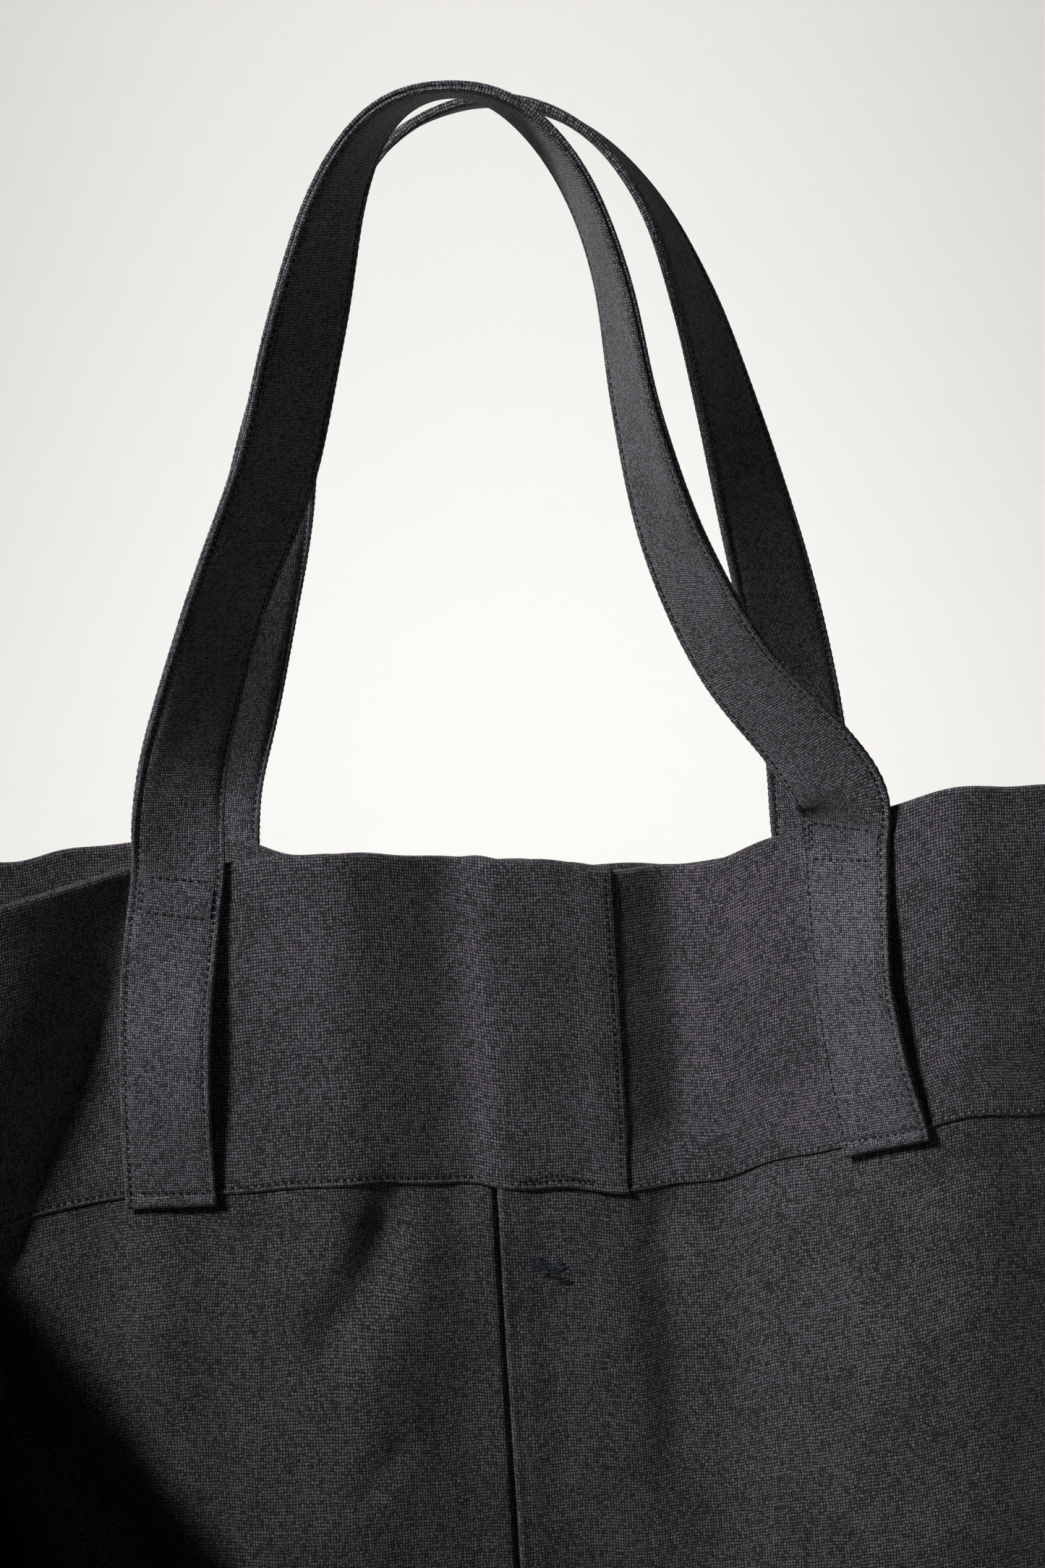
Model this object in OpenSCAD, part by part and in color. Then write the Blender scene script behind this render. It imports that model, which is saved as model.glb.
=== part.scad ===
// Canvas tote bag standing on a boxed base, with a doubled top band and two folded strap handles.
// X runs to the right across the front, Y runs to the back, Z is up. The origin is the middle of the base.
// Every cloth layer is a thin slab between two offsets of one body surface, called the skin.

/* [Body] */
// Height of the rim above the floor
rim_height = 370; // [300:5:420]
// Width of the boxed base
base_width = 310; // [250:5:330]
// Depth of the boxed base
base_depth = 100; // [90:5:140]
// Width across the rim, from side to side
rim_width = 380; // [340:5:400]
// Depth across the rim at its fullest
rim_depth = 92; // [80:2:110]
// How far the middle of the rim is drawn in, as a part of its depth
rim_pinch = 0.7; // [0.4:0.05:0.7]
// Height above the floor at which the walls reach their full width
shoulder_height = 260; // [200:10:300]
// Thickness of the body canvas
canvas_thickness = 1.2; // [1:0.1:1.4]

/* [Top band] */
// Height of the band that is sewn round the rim
band_height = 102; // [90:1:110]
// Thickness of the band and of the facing inside it
band_thickness = 0.9; // [0.8:0.1:1.1]

/* [Straps] */
// Finished width of a folded strap
strap_width = 28; // [24:1:32]
// Thickness of the four folded layers
strap_thickness = 3; // [2.5:0.5:3.5]
// Distance between the front straps at the rim
front_spacing = 203; // [190:1:210]
// Distance between the back straps at the rim
back_spacing = 193; // [185:1:200]
// Length of each sewn strap end below the rim
tail_length = 105; // [95:1:115]
// How far a strap end leans outwards from the rim to its hem
tail_splay = 8; // [0:1:12]

/* [Hidden] */

FRONT = -1;
BACK = 1;
// The outline turns from the right side (0) over the back (90), left side (180) and front (270)
RIGHT_SIDE = 0;
BACK_MIDDLE = 90;
LEFT_SIDE = 180;
FULL_TURN = 360;
// The front body seam lies a little left of the middle
FRONT_SEAM = 266;
// The front band's upper end covers its lower end between these turns
LAP_START = 266;
LAP_END = 278;
COLUMN_STEP = 4;

// Squareness of the outline: 2 is an ellipse and larger values near a rectangle
base_squareness = 5;
rim_squareness = 3;

layer_gap = 0.1;
// Gap under threads on surfaces that curve or twist
thread_gap = 0.3;
strap_gap = 0.8;
side_gap = 0.3;
base_gap = 0.8;
// Half of the turn left open between the two panels at a middle seam
seam_turn = 0.03;
flange_height = 8;

// Distances out from the skin at which each layer starts
band_start = canvas_thickness + layer_gap;
band_end = band_start + band_thickness;
lap_start = band_end + layer_gap;
lap_end = lap_start + band_thickness;
tail_start = band_end + strap_gap;
tail_end = tail_start + strap_thickness;

band_bottom = rim_height - band_height;
tail_bottom = rim_height - tail_length;

// Sewing
thread = 0.5;
edge_inset = 1.8;
band_stitch_inset = 2.2;
hem_inset = 4.5;
box_drop = 3.5;
box_width = 22.5;
box_height = 11.5;
lap_inset = 2;
mend_rows = 6;
mend_width = 14;
mend_pitch = 1.3;
mend_x = 5;
mend_z = 234;

// Route of each handle's middle line between its feet: x, y, height above the rim, and twist
front_rise = [
    [-100, -38.5, 16, 16], [-95, -43, 40, 30], [-80, -58, 80, 40],
    [-61, -77, 120, 40], [-48, -95, 160, 46], [-36, -106, 196, 64], [-22, -110, 216, 80],
    [-5, -111, 221, 90],
    [11, -110, 216, 82], [26, -105, 198, 76], [36, -96, 170, 70], [42, -80, 132, 62],
    [52, -60, 92, 50], [68, -47, 56, 40], [88, -41, 30, 28], [99, -38.5, 12, 16]
];
back_rise = [
    [-94, 33, 18, 14], [-84, 20, 48, 20], [-74, 4, 84, 28],
    [-64, -14, 124, 46], [-52, -28, 166, 62], [-38, -37, 196, 78], [-18, -41, 216, 86],
    [8, -42, 222, 90],
    [32, -40, 213, 86], [50, -33, 192, 76], [62, -22, 164, 62], [71, -8, 134, 50],
    [79, 4, 102, 36], [87, 17, 68, 24], [93, 28, 38, 16], [96, 35, 14, 12]
];
// A handle starts this far above its sewn end, and runs straight up to the second height
foot_heights = [0.5, 5];
rings_per_point = 4;

function mix(a, b, t) = a + (b - a) * t;
function ease(t) = t * t * (3 - 2 * t);
function unit(v) = v / norm(v);

// The skin's depth changes smoothly from the base (0) to the rim (1), its width up to the shoulder
function rise(z) = ease(z / rim_height);
function widening(z) = ease(min(1, z / shoulder_height));
function half_width(z) = mix(base_width, rim_width, widening(z)) / 2;
function half_depth(z) = mix(base_depth, rim_depth, rise(z)) / 2;
function squareness(z) = mix(base_squareness, rim_squareness, widening(z));
function drawn_in(across, z) = 1 - rim_pinch * rise(z) * pow(1 - across * across, 3);

function side_of(turn) = turn > LEFT_SIDE ? FRONT : BACK;

function skin(turn, z) =
    let (across = cos(turn),
         n = squareness(z),
         fullness = pow(max(0, 1 - pow(abs(across), n)), 1 / n))
    [half_width(z) * across,
     sign(sin(turn)) * half_depth(z) * fullness * drawn_in(across, z)];

function outward(turn, z) =
    let (along = skin(turn + 0.5, z) - skin(turn - 0.5, z))
    unit([along.y, -along.x]);

// A point of the cloth stack, out from the skin, with the front and back halves kept apart
function lay(turn, z, out, side) =
    let (p = skin(turn, z) + out * outward(turn, z))
    [p.x, p.y + side * side_gap / 2, z];

// The turn at which the outline passes a given x
function turn_at(x, z, side) =
    let (quarter = acos(x / half_width(z)))
    side == FRONT ? FULL_TURN - quarter : quarter;

// Shared columns and levels, so that neighbouring layers nest without crossing
function columns(from, to) =
    concat([from],
           [for (turn = [2 : COLUMN_STEP : FULL_TURN]) if (turn > from && turn < to) turn],
           [to]);
body_levels = [for (i = [0 : 7]) band_bottom * i / 8];
band_levels = [for (i = [0 : 3]) mix(band_bottom, rim_height, i / 3)];
full_levels = concat(body_levels, band_levels);

// Solid between two matching grids of points, each a list of rows running up the cloth
module slab(inner, outer) {
    rows = len(inner);
    cols = len(inner[0]);
    count = rows * cols;
    function at(r, c) = r * cols + c;
    function quad(a, b, c, d) = [[a, b, c], [a, c, d]];
    cells = [for (r = [0 : rows - 2], c = [0 : cols - 2]) [r, c]];
    outer_faces = [for (k = cells, f = quad(count + at(k[0], k[1]), count + at(k[0] + 1, k[1]),
                       count + at(k[0] + 1, k[1] + 1), count + at(k[0], k[1] + 1))) f];
    inner_faces = [for (k = cells, f = quad(at(k[0], k[1]), at(k[0], k[1] + 1),
                       at(k[0] + 1, k[1] + 1), at(k[0] + 1, k[1]))) f];
    edge = concat([for (c = [0 : cols - 1]) at(0, c)],
                  [for (r = [1 : rows - 1]) at(r, cols - 1)],
                  [for (c = [cols - 2 : -1 : 0]) at(rows - 1, c)],
                  [for (r = [rows - 2 : -1 : 1]) at(r, 0)]);
    last = len(edge) - 1;
    edge_faces = [for (i = [0 : last], f = let (j = i == last ? 0 : i + 1)
                       quad(edge[j], edge[i], count + edge[i], count + edge[j])) f];
    polyhedron(points = concat([for (row = inner) each row], [for (row = outer) each row]),
               faces = concat(outer_faces, inner_faces, edge_faces));
}

// Cloth between two turns of the outline
module cloth(from, to, levels, inside, outside) {
    side = side_of((from + to) / 2);
    turns = columns(from, to);
    function sheet(out) = [for (z = levels) [for (turn = turns) lay(turn, z, out, side)]];
    slab(sheet(inside), sheet(outside));
}

// A flat strip sewn on the wall: it runs down from x_top to x_low and is as wide as stated
module strip(side, x_top, x_low, width, z_top, z_low, inside, outside) {
    cols = 4;
    rows = max(1, round((z_top - z_low) / 20));
    function at_x(x, z, out) = lay(turn_at(x, z, side), z, out, side);
    function sheet(out) = [for (r = [0 : rows])
        let (z = mix(z_low, z_top, r / rows), middle = mix(x_low, x_top, r / rows))
        [for (c = [0 : cols]) at_x(middle - side * width * (c / cols - 0.5), z, out)]];
    slab(sheet(inside), sheet(outside));
}

// One body quarter, up to the rim
module panel(from, to) {
    color("dimgray") cloth(from, to, full_levels, 0, canvas_thickness);
}

module base_panel() {
    turns = [for (turn = [2 : COLUMN_STEP : FULL_TURN - 2]) turn];
    function outline(out) = [for (turn = turns) skin(turn, 0) + out * outward(turn, 0)];
    color("dimgray") difference() {
        linear_extrude(flange_height) polygon(outline(-base_gap));
        translate([0, 0, canvas_thickness])
            linear_extrude(flange_height) polygon(outline(-base_gap - canvas_thickness));
    }
}

module facing(from, to) {
    color("slategray") cloth(from, to, band_levels, -layer_gap - band_thickness, -layer_gap);
}

module front_band_left() {
    // The free end steps up over the lower end of the band
    turns = columns(LEFT_SIDE, LAP_END);
    function step(turn) = turn >= LAP_START ? lap_start - band_start : 0;
    function sheet(out) = [for (z = band_levels)
        [for (turn = turns) lay(turn, z, out + step(turn), FRONT)]];
    color("#4a4347") slab(sheet(band_start), sheet(band_end));
}

module band(from, to) {
    color("#4a4347") cloth(from, to, band_levels, band_start, band_end);
}

function tail_x(side, hand, z) =
    let (spacing = side == FRONT ? front_spacing : back_spacing)
    hand * (spacing / 2 + tail_splay * (rim_height - z) / tail_length);

module tail(side, hand) {
    color("#5c5d60") strip(side, tail_x(side, hand, rim_height), tail_x(side, hand, tail_bottom),
        strap_width, rim_height, tail_bottom, tail_start, tail_end);
}

// Thread run that follows a strap end, between two heights and beside its middle line
module tail_thread(side, hand, aside, width, z_top, z_low) {
    strip(side, tail_x(side, hand, z_top) + aside, tail_x(side, hand, z_low) + aside,
        width, z_top, z_low, tail_end + layer_gap, tail_end + layer_gap + thread);
}

module box_stitches(side) {
    top = rim_height - box_drop;
    low = top - box_height;
    color("midnightblue") for (hand = [-1, 1]) {
        for (edge = [-1, 1])
            tail_thread(side, hand, edge * (box_width - thread) / 2, thread, top - thread, low + thread);
        for (z = [top, low + thread])
            tail_thread(side, hand, 0, box_width - 4 * thread, z, z - thread);
    }
}

module tail_stitches(side) {
    hem = tail_bottom + hem_inset;
    aside = strap_width / 2 - edge_inset;
    top = rim_height - thread;
    color("#222222") for (hand = [-1, 1]) {
        for (edge = [-1, 1])
            tail_thread(side, hand, edge * aside, thread, top, tail_bottom + thread);
        tail_thread(side, hand, 0, 2 * aside - 4 * thread, hem, hem - thread);
    }
}

// Thread row round the lower edge of the band, in one run for each stretch of the band
module band_row(from, to, start) {
    z = band_bottom + band_stitch_inset;
    cloth(from, to, [z, z + thread], start, start + thread);
}

module front_band_stitches() {
    color("#222222") {
        band_row(LEFT_SIDE + 1, LAP_START - COLUMN_STEP, band_end + layer_gap);
        band_row(LAP_END + COLUMN_STEP / 2, FULL_TURN - 1, band_end + layer_gap);
    }
}

module back_band_stitches() {
    color("#222222") band_row(RIGHT_SIDE + 1, LEFT_SIDE - 1, band_end + layer_gap);
}

// The lap is sewn down its folded end and again along its lower edge
module front_lap_stitches() {
    start = lap_end + thread_gap;
    fold_x = half_width(rim_height) * cos(LAP_END) - lap_inset;
    color("#222222") {
        strip(FRONT, fold_x, fold_x, thread, rim_height - lap_inset, band_bottom + 2 * lap_inset,
            start, start + thread);
        band_row(LAP_START + 1, LAP_END - 1, start);
    }
}

module darned_mend() {
    color("midnightblue") for (i = [0 : mend_rows - 1])
        strip(FRONT, mend_x, mend_x, mend_width, mend_z + i * mend_pitch + thread,
            mend_z + i * mend_pitch, canvas_thickness + thread_gap, canvas_thickness + thread_gap + thread);
}

// Middle line and twist of a strap where its sewn end stops at the rim
function foot(side, hand, height) =
    let (x = tail_x(side, hand, rim_height),
         turn = turn_at(x, rim_height, side),
         away = outward(turn, rim_height),
         p = lay(turn, rim_height, tail_start + strap_thickness / 2, side))
    [p.x, p.y, height, atan(-hand * away.x / abs(away.y))];
function feet(side, hand) = [for (height = foot_heights) foot(side, hand, height)];
function turned_round(list) = [for (i = [len(list) - 1 : -1 : 0]) list[i]];
front_route = concat(feet(FRONT, -1), front_rise, turned_round(feet(FRONT, 1)));
back_route = concat(feet(BACK, -1), back_rise, turned_round(feet(BACK, 1)));

// Smooth curve through the route's points
function curve_value(p, q, r, s, t) =
    0.5 * (2 * q + (r - p) * t + (2 * p - 5 * q + 4 * r - s) * t * t + (3 * q - p - 3 * r + s) * t * t * t);
function route_value(route, at) =
    let (last = len(route) - 1,
         i = min(floor(at), last - 1),
         p = route[max(i - 1, 0)],
         s = route[min(i + 2, last)])
    curve_value(p, route[i], route[i + 1], s, at - i);
function route_place(route, at) =
    let (v = route_value(route, at))
    [v[0], v[1], rim_height + v[2]];

// Corner points of a rectangular section at one station of a handle. aside runs towards the
// arch's outer edge and out runs away from the face that touches the bag.
function station(route, side, at, aside, out) =
    let (last = len(route) - 1,
         ahead = min(at + 0.05, last),
         behind = max(at - 0.05, 0),
         along = unit(route_place(route, ahead) - route_place(route, behind)),
         forward = unit([0, -1, 0] - along * (along * [0, -1, 0])),
         across = cross(forward, along),
         twist = route_value(route, at)[3],
         wide = across * cos(twist) - side * forward * sin(twist),
         thick = cross(along, wide) * -side)
    route_place(route, at) + wide * aside + thick * out;

// Bar of rectangular section that follows a handle, between two offsets across and out
module handle_bar(route, side, aside, width, out, height) {
    last = len(route) - 1;
    steps = last * rings_per_point;
    corners = [[-1, -1], [1, -1], [1, 1], [-1, 1]];
    points = [for (i = [0 : steps], c = corners)
        station(route, side, i / rings_per_point, aside + c[0] * width / 2, out + c[1] * height / 2)];
    walls = [for (i = [0 : steps - 1], k = [0 : 3])
        let (a = 4 * i + k, b = 4 * i + (k + 1) % 4)
        each [[a, a + 4, b + 4], [a, b + 4, b]]];
    foot_faces = [[0, 1, 2], [0, 2, 3]];
    last_ring = 4 * steps * [1, 1, 1];
    end_faces = [[0, 2, 1] + last_ring, [0, 3, 2] + last_ring];
    faces = concat(walls, foot_faces, end_faces);
    // The back route is a mirror image, so its faces are wound the other way
    polyhedron(points = points,
               faces = side == FRONT ? faces : [for (f = faces) [f[2], f[1], f[0]]]);
}

module handle(route, side) {
    color("#5c5d60") handle_bar(route, side, 0, strap_width, 0, strap_thickness);
}

module handle_stitches(route, side) {
    color("#222222") for (edge = [-1, 1], face = [-1, 1])
        handle_bar(route, side, edge * (strap_width / 2 - edge_inset), thread,
            face * (strap_thickness / 2 + thread_gap + thread / 2), thread);
}

base_panel();
panel(LEFT_SIDE, FRONT_SEAM - seam_turn);  // front_left_panel
panel(FRONT_SEAM + seam_turn, FULL_TURN);  // front_right_panel
panel(BACK_MIDDLE + seam_turn, LEFT_SIDE);  // back_left_panel
panel(RIGHT_SIDE, BACK_MIDDLE - seam_turn);  // back_right_panel
facing(LEFT_SIDE, FULL_TURN);  // front_facing
facing(RIGHT_SIDE, LEFT_SIDE);  // back_facing
front_band_left();
band(LAP_START, FULL_TURN);  // front_band_right
band(RIGHT_SIDE, LEFT_SIDE);  // back_band
tail(FRONT, -1);  // front_left_tail
tail(FRONT, 1);  // front_right_tail
tail(BACK, -1);  // back_left_tail
tail(BACK, 1);  // back_right_tail
handle(front_route, FRONT);  // front_handle
handle(back_route, BACK);  // back_handle
box_stitches(FRONT);  // front_box_stitches
box_stitches(BACK);  // back_box_stitches
tail_stitches(FRONT);  // front_tail_stitches
tail_stitches(BACK);  // back_tail_stitches
front_band_stitches();
back_band_stitches();
front_lap_stitches();
handle_stitches(front_route, FRONT);  // front_handle_stitches
handle_stitches(back_route, BACK);  // back_handle_stitches
darned_mend();
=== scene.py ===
"""Looks of the canvas tote bag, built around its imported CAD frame.

All cloth is laid on one curved wall surface with cloth coordinates: u runs round the bag in millimetres
from the middle of the front, v runs up it from the base. Shapes are worked out in millimetres and
turned into metres when a mesh is made.
"""
import math

import bpy
import numpy as np
from mathutils import Matrix, Vector


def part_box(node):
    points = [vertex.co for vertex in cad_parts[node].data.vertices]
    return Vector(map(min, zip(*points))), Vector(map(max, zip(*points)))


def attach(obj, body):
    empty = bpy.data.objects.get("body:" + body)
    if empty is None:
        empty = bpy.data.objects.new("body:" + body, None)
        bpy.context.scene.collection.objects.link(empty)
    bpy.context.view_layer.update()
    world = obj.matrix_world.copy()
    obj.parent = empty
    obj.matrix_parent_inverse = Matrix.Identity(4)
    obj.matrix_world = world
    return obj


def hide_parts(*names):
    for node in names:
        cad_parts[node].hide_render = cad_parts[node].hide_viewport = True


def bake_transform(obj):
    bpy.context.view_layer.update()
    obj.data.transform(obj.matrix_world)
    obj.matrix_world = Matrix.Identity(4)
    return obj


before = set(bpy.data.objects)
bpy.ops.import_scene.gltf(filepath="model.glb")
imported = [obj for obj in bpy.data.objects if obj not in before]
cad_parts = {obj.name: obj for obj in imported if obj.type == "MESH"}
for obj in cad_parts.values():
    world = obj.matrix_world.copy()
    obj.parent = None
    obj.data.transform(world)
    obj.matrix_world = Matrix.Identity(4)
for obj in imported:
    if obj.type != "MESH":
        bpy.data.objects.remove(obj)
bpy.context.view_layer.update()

MM = 0.001
FRONT = -1
BACK = 1


def box_mm(node):
    low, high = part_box(node)
    return np.array(low) / MM, np.array(high) / MM


# Driving sizes in millimetres, read from the frame where it holds them
CLOTH = 1.2
BAND_CLOTH = 0.9
GAP = 0.1
BASE_GAP = 0.8
RIM = box_mm("front_left_panel")[1][2]
BASE_HALF_WIDTH = box_mm("base_panel")[1][0] + BASE_GAP
BASE_HALF_DEPTH = box_mm("base_panel")[1][1] + BASE_GAP
RIM_HALF_WIDTH = box_mm("back_facing")[1][0] + GAP
RIM_HALF_DEPTH = 46
RIM_PINCH = 0.8
SHOULDER = 260
BAND_LOW = box_mm("back_band")[0][2]
TAIL_LOW = box_mm("front_left_tail")[0][2]
STRAP_WIDTH = 28
STRAP_THICK = 3
# Sewn strap ends: distance from the middle, how far they splay out, and how far they bow
FOOT_X = {FRONT: 101.5, BACK: 96.5}
TAIL_SPLAY = 8
TAIL_BOW = 2.5

# Distances out from the skin at which the layers lie
BAND_IN = CLOTH + GAP
BAND_OUT = BAND_IN + BAND_CLOTH
LAP_IN = BAND_OUT + GAP
LAP_OUT = LAP_IN + BAND_CLOTH
STRAP_CLEAR = 0.3
STRAP_MID = BAND_OUT + STRAP_CLEAR + STRAP_THICK / 2

# Places round the bag: the body's front seam and both ends of the band

SEAM_U = -12
LAP_FROM = -14
LAP_TO = 27
# Radius of an edge that is folded over
FOLD_RADIUS = 1.2


# ---- wall surface

def mix(a, b, t):
    return a + (b - a) * t


def ease(t):
    t = np.clip(t, 0, 1)
    return t * t * (3 - 2 * t)


def unit(v):
    return v / np.maximum(np.linalg.norm(v, axis=-1, keepdims=True), 1e-9)


def bell(distance, width):
    return np.exp(-(distance / width) ** 2)


def length_along(p):
    """Distance along a line of points, from its start to each of them."""
    return np.concatenate([[0], np.cumsum(np.linalg.norm(np.diff(p, axis=0), axis=1))])


def quads(a, b, c, d):
    """Faces from four grids of point numbers."""
    return np.stack([a.ravel(), b.ravel(), c.ravel(), d.ravel()], -1)


def skin(turn, z):
    """Outline of the bag at height z, by the CAD skin's rule. turn is in radians, 0 at the right side."""
    rise = ease(z / RIM)
    widening = ease(z / SHOULDER)
    squareness = mix(5, 3, widening)
    across = np.cos(turn)
    fullness = np.maximum(0, 1 - np.abs(across) ** squareness) ** (1 / squareness)
    drawn_in = 1 - RIM_PINCH * rise * (1 - across**2) ** 3
    x = mix(BASE_HALF_WIDTH, RIM_HALF_WIDTH, widening) * across
    y = np.sign(np.sin(turn)) * mix(BASE_HALF_DEPTH, RIM_HALF_DEPTH, rise) * fullness * drawn_in
    return np.stack([x, y], -1)


V_STEP = 2.0
U_COUNT = 800
V_COUNT = int(round(RIM / V_STEP)) + 1
v_levels = np.linspace(0, RIM, V_COUNT)


def outline_table():
    """Evenly spaced points round the outline at every level, starting from the middle of the front."""
    turn = np.radians(np.linspace(270, 630, 5761))
    rows = []
    lengths = []
    for z in v_levels:
        p = skin(turn, z)
        along = length_along(p)
        even = np.linspace(0, along[-1], U_COUNT + 1)[:-1]
        rows.append(np.stack([np.interp(even, along, p[:, 0]), np.interp(even, along, p[:, 1])], -1))
        lengths.append(along[-1])
    return np.array(rows), float(np.mean(lengths))


outline, PERIMETER = outline_table()
U_STEP = PERIMETER / U_COUNT
u_grid = np.arange(U_COUNT) * U_STEP
HALF = PERIMETER / 2
QUARTER = PERIMETER / 4
u_grid = np.where(u_grid > HALF, u_grid - PERIMETER, u_grid)


def crease(u, v, start, end, depth, width):
    """A soft fold along a line in cloth coordinates. depth is outwards, and fades past both ends."""
    start = np.array(start, float)
    end = np.array(end, float)
    line = end - start
    du = (u - start[0] + HALF) % PERIMETER - HALF
    dv = v - start[1]
    t = (du * line[0] + dv * line[1]) / (line @ line)
    inside = np.clip(t, 0, 1)
    gap2 = (du - inside * line[0]) ** 2 + (dv - inside * line[1]) ** 2
    return depth * np.exp(-gap2 / (2 * width**2))


# Folds that the cloth holds: start (u, v), end (u, v), outward depth, half width
FRONT_FOLDS = [
    ((-46, 262), (-50, 240), -3, 6),
    ((-50, 250), (-66, 218), -4.5, 6),
    ((-184, 236), (-97, 104), -9, 9),
    ((-206, 180), (-196, 60), 13, 20),
    ((-48, 187), (-60, 172), -1.3, 2.6),
    ((42, 378), (42, 290), -7, 7.5),
    ((36, 258), (38, 190), -2.2, 5),
    ((-110, 240), (-70, 150), 2.5, 18),
    ((60, 240), (100, 120), 3, 26),
    ((-40, 180), (-20, 60), 3, 26),
]
SIDE_FOLDS = [
    ((QUARTER, 30), (QUARTER + 4, 330), -9, 16),
    ((-QUARTER, 30), (-QUARTER + 6, 330), -6, 14),
    ((QUARTER + 28, 20), (QUARTER + 20, 200), 4, 12),
    ((-QUARTER - 32, 20), (-QUARTER - 22, 220), 4, 13),
]
# How far the cloth stands out of the smooth outline at band height, round the front: u, millimetres
FRONT_RELIEF = [
    (-205, 0), (-130, -6), (-116, -1), (-101, 1), (-92, 5), (-84, 7), (-72, 12), (-58, 17), (-42, 14),
    (-22, 8), (-9, 11), (5, 8), (25, 1), (40, -7), (58, -12), (80, -8), (101, -1), (116, 3), (130, 5),
    (145, 1), (160, -1), (205, 0),
]
# The front left corner stands forward like an ear. Where it starts: height, u
EAR_EDGE = [(0, -190), (230, -172), (255, -158), (285, -145), (300, -137), (330, -122), (370, -112)]
EAR_SLOPE = 1.5
EAR_REACH = 40
BACK_FOLDS = [
    ((HALF - 120, 370), (HALF - 150, 270), -7, 14),
    ((HALF - 40, 330), (HALF - 10, 200), 4, 24),
    ((HALF + 60, 360), (HALF + 90, 250), -5, 15),
    ((HALF + 130, 330), (HALF + 90, 150), -6, 20),
    ((HALF - 90, 180), (HALF - 50, 40), 5, 28),
    ((HALF + 10, 150), (HALF + 40, 90), -3, 14),
    ((HALF - 20, 365), (HALF - 24, 340), -3, 10),
    ((-QUARTER - 44, 380), (-QUARTER - 44, 280), -13, 26),
]
# How far the rim and the cloth under it ride up or down round the front: x, millimetres
FRONT_LIFT = [
    (-200, -2), (-155, 0), (-120, 6), (-85, 5), (-60, 7), (-7, -2), (42, -10), (76, -2), (113, 11),
    (130, 16), (150, 15), (200, 8),
]
BACK_LIFT = [(-200, -2), (-150, 1), (-100, 3), (-60, -5), (0, -9), (60, -15), (105, -8), (150, -4), (200, 4)]


def smooth_curve(points, x, reach):
    """Smooth curve near a few points, by averaging a straight-sided one over reach to both sides."""
    p = np.array(points, float)
    spread = np.linspace(-reach, reach, reach + 1)
    return np.mean([np.interp(x + s, p[:, 0], p[:, 1]) for s in spread], axis=0)


def ripple(u, v, size, seed):
    """Smooth irregular waves of about one millimetre, with no repeat round the bag."""
    waves = np.random.default_rng(seed)
    total = np.zeros_like(u)
    wave_count = 14
    for _ in range(wave_count):
        turns = round(PERIMETER / size * waves.uniform(0.5, 1.3))
        rise = waves.normal() * 2 * math.pi / size
        total += np.sin(2 * math.pi * turns * u / PERIMETER + rise * v + waves.uniform(0, 2 * math.pi))
    return total / math.sqrt(wave_count)


def front_relief(u, v):
    """Broad folds of the front, strongest at band height and fading to the base."""
    left_at_base = 0.12
    return smooth_curve(FRONT_RELIEF, u, 6) * mix(left_at_base, 1, ease((v - 60) / 215))


def ear(u, v):
    """How far the front left corner is pushed forward."""
    edge = np.interp(v, *np.array(EAR_EDGE, float).T)
    run = np.maximum(edge - u, 0)
    soft = run**2 / (run + 6) * EAR_SLOPE
    reach = EAR_REACH * (1 - np.exp(-soft / EAR_REACH * 1.25)) * 1.15
    side = ease((u + QUARTER + 4) / 24)
    return np.where(u < 0, reach * side, 0)


def displaced_wall():
    """The wall's points with its folds, in millimetres, one row for each level."""
    u, v = np.meshgrid(u_grid, v_levels)
    points = np.dstack([outline, v])
    along = np.roll(outline, -1, axis=1) - np.roll(outline, 1, axis=1)
    outward = unit(np.dstack([along[..., 1], -along[..., 0]]))
    rise = ease((v - 20) / 120)
    out = sum(crease(u, v, *fold) for fold in FRONT_FOLDS + SIDE_FOLDS + BACK_FOLDS)
    out = out * rise + (0.4 * ripple(u, v, 70, 3) + 0.08 * ripple(u, v, 22, 5)) * ease(v / 60)
    out = out + front_relief(u, v)
    points[..., :2] += outward * out[..., None]
    pushed = ear(u, v)
    points[..., 0] -= 0.25 * pushed
    points[..., 1] -= pushed
    x = points[..., 0]
    front = ease((RIM_HALF_DEPTH / 2 - points[..., 1]) / RIM_HALF_DEPTH)
    lift = mix(smooth_curve(BACK_LIFT, x, 14), smooth_curve(FRONT_LIFT, x, 14), front)
    points[..., 2] += (lift + 0.5 * ripple(u, 0 * v, 34, 9)) * ease((v - 60) / 190)
    return points


# Cloth simulation: its grid, its length in frames, the farthest that a point may move, and the share of slack
SETTLE_ROWS = 84
SETTLE_COLUMNS = 160
SETTLE_STEPS = 20
SETTLE_CAP = 4.0
SLACK = 0.06


def placed(name, data):
    """New object in the scene."""
    thing = bpy.data.objects.new(name, data)
    bpy.context.scene.collection.objects.link(thing)
    return thing


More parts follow.
